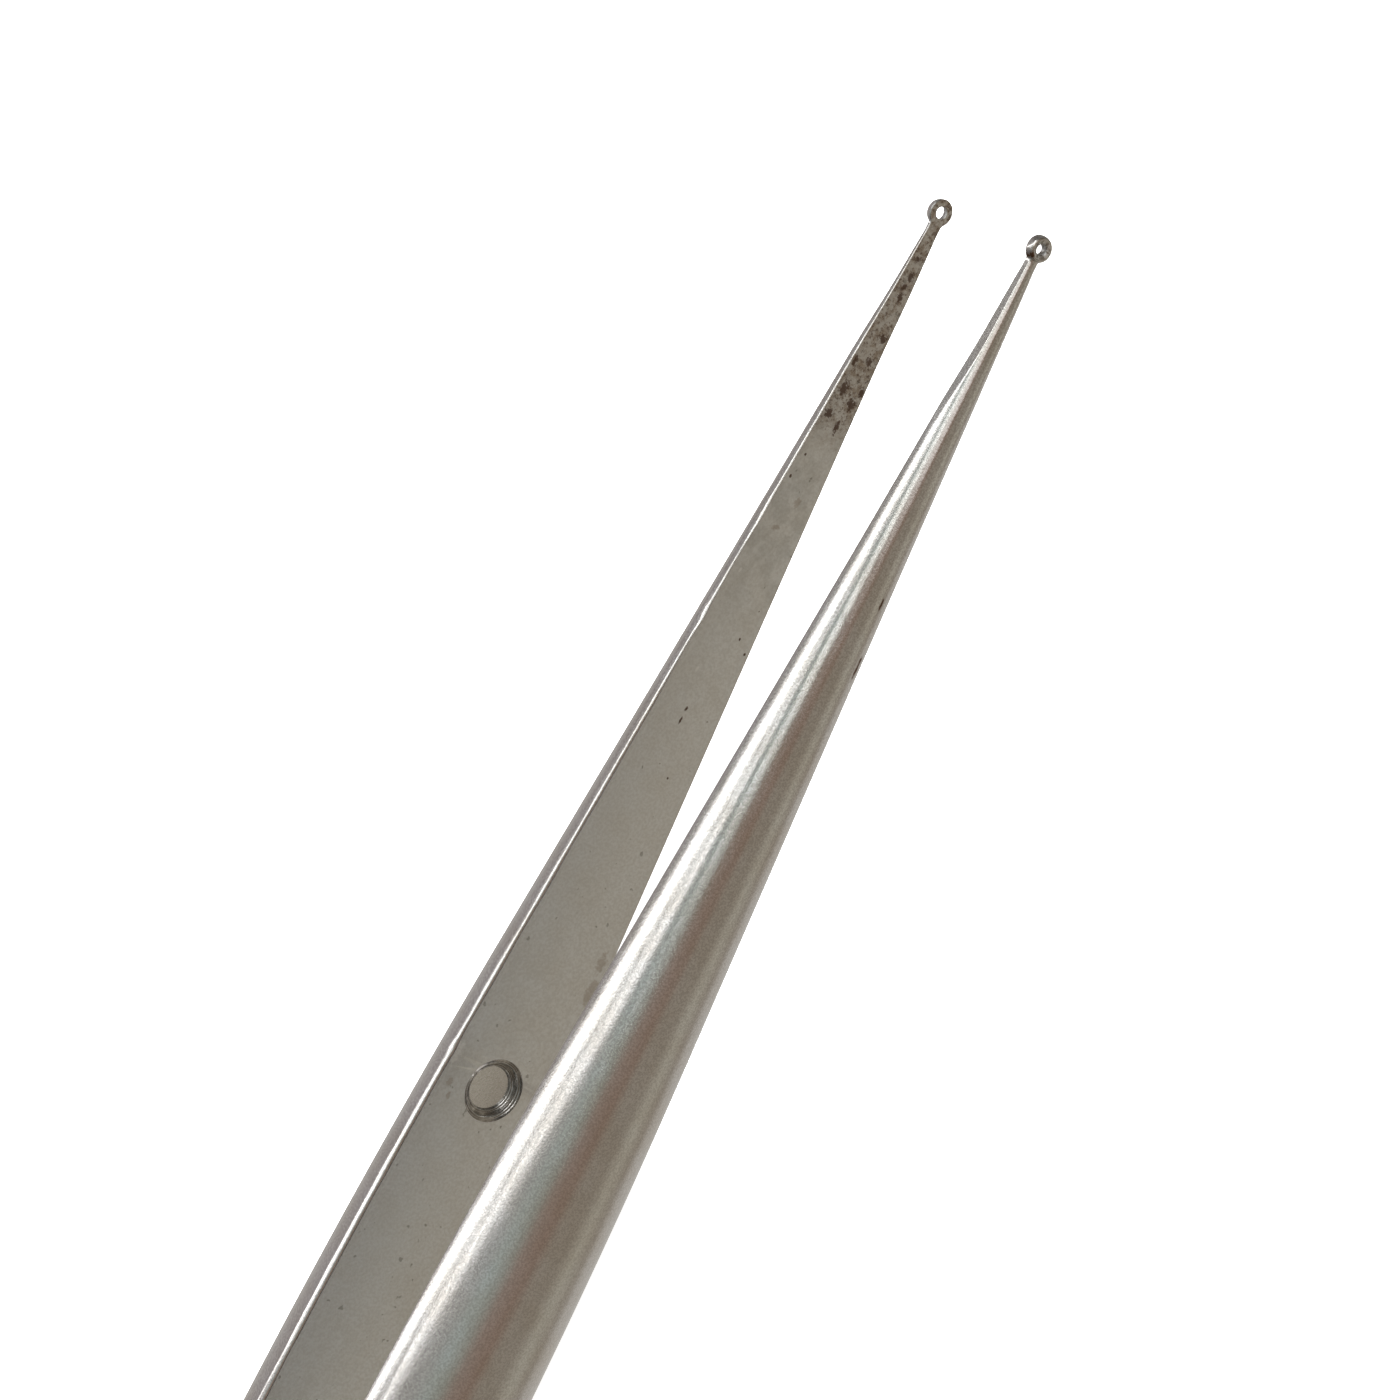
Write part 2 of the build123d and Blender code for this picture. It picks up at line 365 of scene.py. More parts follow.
def remap(tree, value, low, high, to_low=0.0, to_high=1.0, smooth=True):
    """Value moved from one range to another, held at its ends, along a smooth step or a line."""
    made = tree.nodes.new("ShaderNodeMapRange")
    made.interpolation_type = "SMOOTHSTEP" if smooth else "LINEAR"
    put(tree, made.inputs["Value"], value)
    made.inputs["From Min"].default_value = low
    made.inputs["From Max"].default_value = high
    made.inputs["To Min"].default_value = to_low
    made.inputs["To Max"].default_value = to_high
    return made.outputs["Result"]


def mix_colour(tree, factor, a, b):
    """Colour between a and b. The factor is the share of b."""
    made = tree.nodes.new("ShaderNodeMix")
    made.data_type = "RGBA"
    put(tree, made.inputs[0], factor)
    put(tree, made.inputs[6], a)
    put(tree, made.inputs[7], b)
    return made.outputs[2]


def bump(tree, shader, height, distance_mm):
    """Fine relief under the shader, from a height of 0 to 1."""
    made = tree.nodes.new("ShaderNodeBump")
    made.inputs["Strength"].default_value = 1.0
    made.inputs["Distance"].default_value = distance_mm * MM
    tree.links.new(height, made.inputs["Height"])
    tree.links.new(made.outputs[0], shader.inputs["Normal"])


def station_node(tree, vector):
    """Station, in millimetres, and height over the arm's axis."""
    split = tree.nodes.new("ShaderNodeSeparateXYZ")
    tree.links.new(vector, split.inputs[0])
    station = math_node(tree, "SUBTRACT", RING_X, split.outputs["X"])
    across = math_node(tree, "SUBTRACT", split.outputs["Z"], AXIS_Z)
    return station, across


def marks_node(tree, vector, marks, wobble):
    """Mask of small ragged marks, each (station, height over the axis, half length, half width)."""
    station, across = station_node(tree, vector)
    ragged = remap(tree, noise_node(tree, vector, 4.5, 6, 0.7), 0.3, 0.7, -wobble, wobble, smooth=False)
    mask = None
    for at_station, at_across, half_length, half_width in marks:
        along = math_node(tree, "DIVIDE", math_node(tree, "SUBTRACT", station, at_station), half_length)
        over = math_node(tree, "DIVIDE", math_node(tree, "SUBTRACT", across, at_across), half_width)
        squares = math_node(
            tree, "ADD", math_node(tree, "MULTIPLY", along, along), math_node(tree, "MULTIPLY", over, over)
        )
        size = math_node(tree, "ADD", math_node(tree, "SQRT", squares), ragged)
        mark = remap(tree, size, 0.45, 1.0, 1.0, 0.0)
        mask = mark if mask is None else math_node(tree, "MAXIMUM", mask, mark)
    return mask


# ------------------------------------------------------------------ materials

STEEL = (0.69, 0.68, 0.665, 1)
STEEL_WARM = (0.65, 0.625, 0.59, 1)
STEEL_DARK = (0.36, 0.34, 0.31, 1)
FLAT_STEEL = (0.83, 0.845, 0.85, 1)
FLAT_STEEL_WARM = (0.79, 0.79, 0.775, 1)
STAIN_BROWN = (0.27, 0.185, 0.11, 1)
STAIN_DARK = (0.14, 0.08, 0.048, 1)
# painted shade: dark colour for the seat's walls, for the shade in its recess
SEAT_PAINTED_SHADE = (0.16, 0.14, 0.12, 1)
STAIN_GREY = (0.16, 0.155, 0.13, 1)
SCUFF_SHINE = (0.95, 0.94, 0.93, 1)
SPRING_STEEL = (0.5, 0.5, 0.5, 1)
SPRING_STEEL_WARM = (0.58, 0.57, 0.55, 1)
LENGTHWISE = (0.06, 1, 1)

# Marks: station, height over the axis, half length and half width, in millimetres.
TIP_STAINS = (
    (2.8, -0.1, 0.26, 0.24),
    (3.8, -0.2, 0.3, 0.24),
    (4.4, -0.1, 0.28, 0.18),
    (5.1, -0.2, 0.34, 0.2),
    (7.4, -0.4, 0.3, 0.32),
    (8.9, -0.3, 0.4, 0.3),
    (9.1, 0.6, 0.3, 0.2),
    (10.7, 0.42, 0.55, 0.34),
    (10.5, -0.8, 0.26, 0.18),
    (11.3, -0.5, 0.4, 0.3),
    (12.2, 0.6, 0.4, 0.26),
    (12.7, -0.3, 0.45, 0.16),
)
FLAT_SPECKS = (
    (14.8, 0.7, 0.12, 0.1),
    (16.2, 0.95, 0.12, 0.1),
    (23.4, -1.3, 0.08, 0.07),
    (25.2, -1.0, 0.11, 0.08),
    (25.8, -1.75, 0.11, 0.09),
    (29.8, 0.1, 0.18, 0.12),
    (30.5, 0.1, 0.26, 0.09),
    (33.6, -0.9, 0.1, 0.08),
)
FLAT_SMUDGES = (
    (17.3, -0.3, 0.36, 0.22),
    (19.0, 0.3, 0.2, 0.3),
    (44.2, -2.6, 0.8, 0.35),
    (45.9, -2.9, 0.9, 0.5),
    (48.2, -3.2, 0.9, 0.4),
    (53.2, 2.9, 0.35, 0.22),
    (53.9, 2.6, 0.25, 0.16),
)
FLAT_SHINY_SCUFFS = ((51.6, 3.35, 0.8, 0.4), (27.6, 0.65, 0.16, 0.1), (21.9, 1.1, 0.2, 0.1))
# Right arm's outside: the first mark is painted shade, dark reddish brown on the lower side of the ring's
# dome; the other two are nicks.
RIGHT_OUTSIDE_NICKS_AND_SHADE = ((0.4, 0.42, 0.26, 0.22), (20.1, -0.45, 0.5, 0.13), (23.6, -0.9, 0.9, 0.16))


def round_steel(name, marks=()):
    """Satin ground steel: fine pits, lengthwise grain, a slight waviness and faint blotches."""
    material, tree, shader, vector = new_material(name)
    blotches = remap(tree, noise_node(tree, vector, 0.35, 3), 0.35, 0.65)
    colour = mix_colour(tree, blotches, STEEL, STEEL_WARM)
    grain = noise_node(tree, vector, 7.0, 4, 0.6, LENGTHWISE)
    pits = noise_node(tree, vector, 9.0, 3, 0.6)
    waves = noise_node(tree, vector, 1.4, 3, 0.5, LENGTHWISE)
    colour = mix_colour(tree, remap(tree, pits, 0.38, 0.62, 0.0, 0.42), colour, STEEL_DARK)
    roughness = remap(tree, grain, 0.3, 0.7, 0.13, 0.23, smooth=False)
    if marks:
        # the marks are dark; the right arm's first one is painted shade on its ring
        mask = marks_node(tree, vector, marks, 0.5)
        colour = mix_colour(tree, mask, colour, STAIN_DARK)
        roughness = math_node(tree, "ADD", roughness, math_node(tree, "MULTIPLY", mask, 0.3))
    put(tree, shader.inputs["Base Color"], colour)
    put(tree, shader.inputs["Roughness"], roughness)
    shader.inputs["Metallic"].default_value = 1.0
    fine = math_node(tree, "ADD", math_node(tree, "MULTIPLY", grain, 0.4), pits)
    bump(tree, shader, math_node(tree, "ADD", fine, math_node(tree, "MULTIPLY", waves, 0.6)), 0.0035)
    return material


def flat_steel(name):
    """Matte ground flat: stained near the tip, specked and smudged further back."""
    material, tree, shader, vector = new_material(name)
    station, across = station_node(tree, vector)
    cloud = noise_node(tree, vector, 0.5, 4, 0.6)
    colour = mix_colour(tree, remap(tree, cloud, 0.3, 0.7), FLAT_STEEL, FLAT_STEEL_WARM)
    # painted shade: the flat darkens towards its top edge
    colour = mix_colour(tree, remap(tree, across, -2.0, 3.5, 0.0, 0.22), colour, STEEL_DARK)
    fine = noise_node(tree, vector, 6.0, 3, 0.65)
    colour = mix_colour(tree, remap(tree, fine, 0.35, 0.65, 0.0, 0.2), colour, STEEL_DARK)
    # stains: a brown speckle in the front, with darker patches, gone about 14 mm behind the ring
    reach = remap(tree, station, 11.0, 15.0, 1.0, 0.0)
    patches = noise_node(tree, vector, 2.2, 6, 0.72, distortion=0.3)
    speckle = math_node(tree, "MULTIPLY", remap(tree, patches, 0.42, 0.62), reach)
    colour = mix_colour(tree, math_node(tree, "MULTIPLY", reach, 0.22), colour, STAIN_BROWN)
    colour = mix_colour(tree, math_node(tree, "MULTIPLY", speckle, 0.6), colour, STAIN_BROWN)
    spots = remap(tree, noise_node(tree, vector, 4.6, 5, 0.75), 0.5, 0.58)
    spots = math_node(tree, "MULTIPLY", spots, remap(tree, patches, 0.38, 0.52, 0.15, 1.0))
    spots = math_node(tree, "MULTIPLY", spots, reach)
    blots = marks_node(tree, vector, TIP_STAINS, 0.8)
    stain = math_node(tree, "MAXIMUM", math_node(tree, "MULTIPLY", spots, 0.7), blots)
    colour = mix_colour(tree, math_node(tree, "MULTIPLY", stain, 0.85), colour, STAIN_DARK)
    # a thin greenish-grey film behind the stains
    film = math_node(
        tree, "MULTIPLY", remap(tree, station, 11.0, 15.0), remap(tree, station, 19.0, 27.0, 1.0, 0.0)
    )
    film = math_node(tree, "MULTIPLY", film, remap(tree, noise_node(tree, vector, 0.9, 5), 0.42, 0.58))
    colour = mix_colour(tree, math_node(tree, "MULTIPLY", film, 0.16), colour, STAIN_GREY)
    # single marks and dust
    dark = marks_node(tree, vector, FLAT_SPECKS, 0.5)
    colour = mix_colour(tree, math_node(tree, "MULTIPLY", dark, 0.9), colour, STAIN_DARK)
    smudge = marks_node(tree, vector, FLAT_SMUDGES, 0.5)
    colour = mix_colour(tree, math_node(tree, "MULTIPLY", smudge, 0.35), colour, STAIN_BROWN)
    light = marks_node(tree, vector, FLAT_SHINY_SCUFFS, 0.7)
    colour = mix_colour(tree, math_node(tree, "MULTIPLY", light, 0.5), colour, SCUFF_SHINE)
    dust = remap(tree, noise_node(tree, vector, 1.9, 2, 0.5), 0.7, 0.74, 0.0, 0.45)
    colour = mix_colour(tree, dust, colour, STAIN_GREY)
    dirt = math_node(tree, "MAXIMUM", stain, dark)
    put(tree, shader.inputs["Base Color"], colour)
    shader.inputs["Metallic"].default_value = 1.0
    put(tree, shader.inputs["Roughness"], remap(tree, dirt, 0, 1, 0.38, 0.7))
    bump(tree, shader, math_node(tree, "ADD", fine, math_node(tree, "MULTIPLY", dirt, 0.8)), 0.004)
    return material


def ring_steel(name):
    """Dull, brown-specked steel in the dish and hole of a ring."""
    material, tree, shader, vector = new_material(name)
    specks = noise_node(tree, vector, 5.0, 4, 0.7)
    colour = mix_colour(tree, remap(tree, specks, 0.4, 0.62, 0.0, 0.7), FLAT_STEEL, STAIN_GREY)
    browner = remap(tree, noise_node(tree, vector, 2.5, 3), 0.4, 0.6, 0.1, 0.35)
    colour = mix_colour(tree, browner, colour, STAIN_BROWN)
    put(tree, shader.inputs["Base Color"], colour)
    put(tree, shader.inputs["Roughness"], remap(tree, specks, 0.3, 0.7, 0.45, 0.65))
    shader.inputs["Metallic"].default_value = 1.0
    bump(tree, shader, specks, 0.012)
    return material


def polished_steel(name, low, high, painted_shade=None):
    """Turned or drilled face, smoother than the ground steel. A painted shade, where one is given, darkens
    it in patches.
    """
    material, tree, shader, vector = new_material(name)
    scuff = noise_node(tree, vector, 7.0, 5, 0.6)
    colour = mix_colour(tree, remap(tree, scuff, 0.4, 0.7), STEEL, STEEL_WARM)
    if painted_shade:
        # painted shade: dark patches on the seat's walls
        patches = noise_node(tree, vector, 1.6, 5, 0.65)
        colour = mix_colour(tree, remap(tree, patches, 0.36, 0.56, 0.0, 0.5), colour, painted_shade)
    put(tree, shader.inputs["Base Color"], colour)
    put(tree, shader.inputs["Roughness"], remap(tree, scuff, 0.3, 0.7, low, high))
    shader.inputs["Metallic"].default_value = 1.0
    bump(tree, shader, scuff, 0.002)
    return material


def spring_steel(name):
    """Rolled leaf: lengthwise grain, a little darker and bluer than the arms."""
    material, tree, shader, vector = new_material(name)
    grain = noise_node(tree, vector, 7.0, 6, 0.6, LENGTHWISE)
    tone = mix_colour(tree, remap(tree, grain, 0.35, 0.65), SPRING_STEEL, SPRING_STEEL_WARM)
    put(tree, shader.inputs["Base Color"], tone)
    put(tree, shader.inputs["Roughness"], remap(tree, grain, 0.3, 0.7, 0.24, 0.36))
    shader.inputs["Metallic"].default_value = 1.0
    bump(tree, shader, grain, 0.003)
    return material


steel_round = round_steel("steel_round")
# right arm's outside: nicks, and painted shade on the lower side of its ring
steel_round_nicks_and_shade = round_steel("steel_round_nicks_and_shade", RIGHT_OUTSIDE_NICKS_AND_SHADE)
steel_flat = flat_steel("steel_flat")
steel_ring_face = ring_steel("steel_ring_face")
# the seat's walls get painted shade in patches; its floor gets none
steel_seat = polished_steel("steel_seat", 0.08, 0.17, SEAT_PAINTED_SHADE)
steel_seat_floor = polished_steel("steel_seat_floor", 0.2, 0.35)
steel_rivet = polished_steel("steel_rivet", 0.16, 0.28)
steel_spring = spring_steel("steel_spring")


# ------------------------------------------------------------------ arms

def arm_stations():
    """Stations of the arm's sections: close at the ring's fillet, even on the cone and handle,
    and exact at the grooves and the chamfer."""
    step = SECTION_STEP
    stations = [0.53, 0.57, 0.62, 0.68, 0.74, FILLET_START, 0.9, 1.0]
    stations += [NECK_STATION + step * i for i in range(int((GRIP_START - 2 - NECK_STATION) / step))]
    for groove in range(GROOVE_COUNT):
        centre = GRIP_START + groove * GROOVE_PITCH
        stations += [centre - GROOVE_HALF_WIDTH, centre, centre + GROOVE_HALF_WIDTH]
    after_grip = GRIP_START + GROOVE_COUNT * GROOVE_PITCH
    stations += [after_grip + 0.5 + step * i for i in range(int((ARM_END - 1 - after_grip) / step))]
    stations += [ARM_END - ARM_END_CHAMFER, ARM_END]
    return sorted(set(stations))


def edge_corner(side, station, bottom):
    """Broken edge from the flat to the round outside, as (across, out) points.

    The far arm's upper edge rolls off the flat, then has a bright worn facet that fades into the
    outside. It wanders, and has a few more worn places. The other edges are only just broken.
    """
    size = min(1.0, arm_radius(station) / 1.2)
    roll, wide, fade = EDGE_PLAIN / 4, EDGE_PLAIN, EDGE_PLAIN / 4
    if side > 0 and not bottom:
        wander = noise.noise(Vector((station * 0.35, 7.0, 3.0)))
        jagged = noise.noise(Vector((station * 1.7, 5.0, 9.0)))
        wide = EDGE_FACET + EDGE_FACET_WANDER * (wander + 0.5 * jagged)
        for place, reach, extra in EDGE_WORN:
            wide += extra * math.exp(-(((station - place) / reach) ** 2))
        roll = EDGE_ROLL[0] + (EDGE_ROLL[1] - EDGE_ROLL[0]) * ease(station, 24.0, 34.0)
        roll *= 1 + 0.3 * wander
        fade = EDGE_FADE
    runs = [(angle, roll / 4) for angle in (84, 76, 68, 60)]
    runs += [(angle, EDGE_TURN / 2) for angle in (50, 41)]
    runs += [(angle, wide / 4) for angle in (31, 25, 19, 13)]
    runs += [(angle, fade / 3) for angle in (11, 6, 1)]
    corner = [(0.0, 0.0)]
    for angle, length in runs:
        across, out = corner[-1]
        turned = math.radians(angle)
        corner.append((across + math.sin(turned) * length * size, out + math.cos(turned) * length * size))
    return corner


def round_reach(side, station, angle):
    """Distance from the axis to the round outside. The near arm's tip is stouter, with a long facet."""
    reach = arm_radius(station)
    if side < 0:
        reach += TIP_STOUTER * ease(station, *TIP_STOUTER_RISE) * (1 - ease(station, *TIP_STOUTER_FADE))
    narrowed = TIP_FACET_HALF * (1 - ease(station, *TIP_FACET_FADE))
    off_facet = angle - TIP_FACET_ANGLE
    if side < 0 and abs(off_facet) < narrowed:
        return reach * math.cos(narrowed) / math.cos(off_facet)
    return reach


def edge_start(side, station, corner, bottom):
    """Angle where a broken edge meets the round outside, and how far the edge is shifted to meet it."""
    across, out = corner[-1]
    angle = 0.0
    for _ in range(4):
        reach = round_reach(side, station, math.pi - angle if bottom else angle)
        angle = math.asin(out / reach)
    return angle, reach * math.cos(angle) - across


def arm_section(side, station):
    """Half-round section: flat on the inside, round outside, and both edges broken."""
    lifted = NECK_LIFT if station < NECK_STATION else 0.0
    edges = []
    starts = []
    for bottom in (False, True):
        corner = edge_corner(side, station, bottom)
        start, shift = edge_start(side, station, corner, bottom)
        sign = -1 if bottom else 1
        edges.append([(sign * (shift + across), out) for across, out in corner])
        starts.append(start)
    sweep = math.pi - starts[0] - starts[1]
    outside = []
    for i in range(1, ROUND_SEGMENTS):
        angle = starts[0] + sweep * i / ROUND_SEGMENTS
        reach = round_reach(side, station, angle)
        outside.append((reach * math.cos(angle), reach * math.sin(angle)))
    top, bottom = edges
    support = FLAT_SUPPORT * min(1.0, arm_radius(station))
    flat = [(bottom[0][0] + support, 0.0), (0.0, 0.0), (top[0][0] - support, 0.0)]
    return [on_arm(side, station, c, n + lifted) for c, n in top + outside + bottom[::-1] + flat]


def ring_profile(hole, mouth, mouth_height):
    """Ring's section: flat base with broken edges, rounded outside, dished from its crest to the mouth."""
    soft = RING_SOFT
    points = [(hole + soft, 0.0), ((hole + RING_RADIUS) / 2, 0.0), (RING_RADIUS - soft, 0.0)]
    steps = 14
    for i in range(steps + 1):
        angle = math.pi / 2 * i / steps
        radius = RING_CREST + (RING_RADIUS - RING_CREST) * math.cos(angle) ** 0.8
        points.append((radius, soft + (RING_HEIGHT - soft) * math.sin(angle) ** 0.8))
    for i in range(1, steps + 1):
        angle = math.pi / 2 * i / steps
        radius = RING_CREST - (RING_CREST - mouth) * math.sin(angle)
        points.append((radius, RING_HEIGHT - (RING_HEIGHT - mouth_height) * (1 - math.cos(angle))))
    return points + [(hole, 2 * soft), (hole, soft)]


def seat_cutter(side):
    """Shape of the seat: a wall with turned ridges down to a slightly dished floor."""
    origin = on_arm(side, STOP_STATION, 0, 0)
    out = (on_arm(side, STOP_STATION, 0, 1) - origin).normalized()
    mouth = SEAT_RIM_RADIUS + 0.04
    profile = [(0, -PAST), (mouth, -PAST), (mouth, -0.02)]
    wave = 2 * math.pi * SEAT_RIDGES
    for i in range(SEAT_STEPS + 1):
        share = i / SEAT_STEPS
        depth = SEAT_DEPTH * (share + SEAT_RIDGE_DEPTH * math.sin(wave * share) / wave)
        profile.append((SEAT_RIM_RADIUS - (SEAT_RIM_RADIUS - SEAT_FLOOR_RADIUS) * share, depth))
    profile.append((SEAT_FLOOR_RADIUS * 0.6, SEAT_DEPTH + 0.75 * SEAT_FLOOR_DISH))
    profile.append((0, SEAT_DEPTH + SEAT_FLOOR_DISH))
    return lathe("seat_cutter", profile, origin, out, UP, steel_seat)


def rebate_cutter(side):
    """Block that clears the arm's rear flat for its leaf."""
    near = flat_y(LEAF_FRONT) - PAST
    far = flat_y((LEAF_FRONT + ARM_END) / 2) + LEAF_THICKNESS + 0.05
    ys = sorted((side * near, side * far))
    low = (RING_X - ARM_END - PAST, ys[0], AXIS_Z - LEAF_WIDTH / 2 - REBATE_GAP)
    high = (RING_X - LEAF_FRONT + REBATE_GAP, ys[1], AXIS_Z + LEAF_WIDTH / 2 + REBATE_GAP)
    return slab("rebate", low, high, steel_round)


def make_arm(side, name, outside, node, ring_shape):
    """Arm with its ring. Ring shape: radii of its hole and its outer mouth, and the mouth's height."""
    arm = loft(name, [arm_section(side, s) for s in arm_stations()], outside)
    origin = on_arm(side, 0, 0, 0)
    out = (on_arm(side, 0, 0, 1) - origin).normalized()
    ring = ring_body("ring", ring_profile(*ring_shape), origin, out, UP, outside)
    combine(arm, ring, "UNION")
    if side > 0:
        combine(arm, seat_cutter(side), "DIFFERENCE")
    combine(arm, rebate_cutter(side), "DIFFERENCE")
    for station in ARM_RIVET_STATIONS:
        drill(arm, on_arm(side, station, 0, -PAST), out, ARM_RIVET_RADIUS, 8, steel_round)
    paint_arm(arm, side, -out)
    shade(arm)
    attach(arm, node)
    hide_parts(node)


def paint_arm(arm, side, facing):
    """Gives the ring's dish and hole, the inner flat and the seat's floor their own materials."""
    materials = arm.data.materials
    seat_index = next((i for i, m in enumerate(materials) if m == steel_seat), -1)
    ring_index = len(materials)
    materials.append(steel_ring_face)
    materials.append(steel_flat)
    if seat_index >= 0:
        materials.append(steel_seat_floor)
    ring = on_arm(side, 0, 0, 0)
    seat = on_arm(side, STOP_STATION, 0, 0)
    for polygon in arm.data.polygons:
        centre = polygon.center / MM
        if polygon.material_index == seat_index:
            if (centre - seat).xz.length < SEAT_FLOOR_RADIUS:
                polygon.material_index = ring_index + 2
        elif polygon.normal.dot(facing) > 0.999:
            polygon.material_index = ring_index + 1
        elif (centre - ring).xz.length < RING_CREST:
            polygon.material_index = ring_index


make_arm(1, "left_arm_fine", steel_round, "left_arm", (0.33, 0.335, 0.12))
make_arm(-1, "right_arm_fine", steel_round_nicks_and_shade, "right_arm", (0.26, 0.29, 0.36))


# ------------------------------------------------------------------ leaf springs

def bent_path(corners, radius, step):
    """Points along a path of straight runs and tangent arcs."""
    path = [Vector(corners[0])]
    for before, corner, after in zip(corners, corners[1:], corners[2:]):
        into = (Vector(corner) - Vector(before)).normalized()
        away = (Vector(after) - Vector(corner)).normalized()
        turn = into.angle_signed(away)
        tangent = radius * math.tan(abs(turn) / 2)
        start = Vector(corner) - into * tangent
        inward = Vector((into.y, -into.x)) * (1 if turn > 0 else -1)
        centre = start + inward * radius
        path += straight(path[-1], start, step)
        pieces = 8
        for i in range(1, pieces + 1):
            angle = turn * i / pieces
            spoke = start - centre
            spoke.rotate(Matrix.Rotation(-angle, 2))
            path.append(centre + spoke)
    path += straight(path[-1], Vector(corners[-1]), step)
    return path


def straight(start, end, step):
    """Evenly spaced points after start, up to and including end."""
    count = max(1, round((end - start).length / step))
    return [start + (end - start) * i / count for i in range(1, count + 1)]


def leaf_section(centre, normal):
    """Flat bar section with rounded edges, in the plane across the path."""
    half_width = LEAF_WIDTH / 2 - LEAF_ROUNDING
    half_thick = LEAF_THICKNESS / 2 - LEAF_ROUNDING
    points = []
    for across, thick, start in ((1, 1, 0), (-1, 1, 1), (-1, -1, 2), (1, -1, 3)):
        for i in range(5):
            angle = math.pi / 2 * (start + i / 4)
            c = across * half_width + LEAF_ROUNDING * math.cos(angle)
            n = thick * half_thick + LEAF_ROUNDING * math.sin(angle)
            points.append((centre.x + normal.x * n, centre.y + normal.y * n, AXIS_Z + c))
    return points


def make_leaf(side, name, node):
    """Leaf from its arm's rebate to the tail's slot. It bends between the two."""
    leaf_middle = LEAF_THICKNESS / 2
    corners = (
        (RING_X - LEAF_FRONT, side * (flat_y(LEAF_FRONT) + leaf_middle)),
        (RING_X - LEAF_FRONT_BEND, side * (flat_y(LEAF_FRONT_BEND) + leaf_middle)),
        (RING_X - LEAF_REAR_BEND, side * TAIL_LEAF_Y),
        (RING_X - LEAF_REAR, side * TAIL_LEAF_Y),
    )
    path = bent_path(corners, LEAF_BEND_RADIUS, 1.0)
    sections = []
    for i, point in enumerate(path):
        ahead = path[min(i + 1, len(path) - 1)] - path[max(i - 1, 0)]
        normal = Vector((-ahead.y, ahead.x)).normalized()
        sections.append(leaf_section(point, normal))
    leaf = loft(name, sections, steel_spring)
    out = Vector((0, side, 0))
    for station in ARM_RIVET_STATIONS:
        drill(leaf, on_arm(side, station, 0, -PAST), out, ARM_RIVET_RADIUS, 3, steel_spring)
    shade(leaf)
    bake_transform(leaf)
    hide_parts(node)


make_leaf(1, "left_leaf_fine", "left_leaf")
make_leaf(-1, "right_leaf_fine", "right_leaf")


# ------------------------------------------------------------------ tail

def tail_profile():
    """Turned outline of the round tail, from its front face to its rounded end."""
    points = [(0, 0), (HANDLE_RADIUS - TAIL_FRONT_CHAMFER, 0), (HANDLE_RADIUS, TAIL_FRONT_CHAMFER)]
    length = TAIL_END - TAIL_FRONT
    steps = 10
    for i in range(steps + 1):
        angle = math.pi / 2 * i / steps
        radius = HANDLE_RADIUS - TAIL_END_ROUNDING * (1 - math.cos(angle))
        points.append((radius, length - TAIL_END_ROUNDING * (1 - math.sin(angle))))
    return points + [(0, length)]


def slot_cutter(side):
    """Slot in a cheek that the leaf's rear end lies in."""
    ys = sorted((side * SPACER_HALF, side * (SPACER_HALF + LEAF_THICKNESS + SLOT_GAP)))
    low = (RING_X - LEAF_REAR - 0.1, ys[0] - 0.01, AXIS_Z - LEAF_WIDTH / 2 - SLOT_GAP)
    high = (RING_X - TAIL_FRONT + PAST, ys[1], AXIS_Z + LEAF_WIDTH / 2 + SLOT_GAP)
    return slab("slot", low, high, steel_round)


def make_tail_piece(name, node, side):
    """Cheek on one side of the round tail, or the spacer between the cheeks when the side is 0."""
    back = Vector((-1, 0, 0))
    front = Vector((RING_X - TAIL_FRONT, 0, AXIS_Z))
    piece = lathe(name, tail_profile(), front, back, UP, steel_round, 144)
    ys = (-SPACER_HALF, SPACER_HALF)
    if side:
        ys = sorted((side * SPACER_HALF, side * (HANDLE_RADIUS + PAST)))
    reach = 2 * HANDLE_RADIUS
    low = (RING_X - TAIL_END - PAST, ys[0], AXIS_Z - reach)
    high = (RING_X - TAIL_FRONT + PAST, ys[1], AXIS_Z + reach)
    combine(piece, slab("slice", low, high, steel_round), "INTERSECT")
    if side:
        combine(piece, slot_cutter(side), "DIFFERENCE")
    for station in TAIL_RIVET_STATIONS:
        start = Vector((RING_X - station, -reach, AXIS_Z))
        drill(piece, start, Vector((0, 1, 0)), TAIL_RIVET_RADIUS, 2 * reach, steel_round)
    edges = piece.modifiers.new("edges", "BEVEL")
    edges.width = TAIL_EDGE_BREAK * MM
    edges.segments = 2
    edges.limit_method = "ANGLE"
    edges.angle_limit = math.radians(35)
    bake(piece)
    shade(piece, flat_weight=100)
    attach(piece, "tail")
    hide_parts(node)


make_tail_piece("tail_left_cheek_fine", "tail_left_cheek", 1)
make_tail_piece("tail_right_cheek_fine", "tail_right_cheek", -1)
make_tail_piece("tail_spacer_fine", "tail_spacer", 0)


# ------------------------------------------------------------------ CAD nodes that stay

def repaint(node, material):
    """Gives a CAD node that keeps its own mesh a finished material."""
    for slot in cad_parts[node].material_slots:
        slot.material = material


for kept in ("left_leaf_rivets", "right_leaf_rivets", "tail_rivets", "stop_stud"):
    repaint(kept, steel_rivet)


# ------------------------------------------------------------------ floor, light and camera

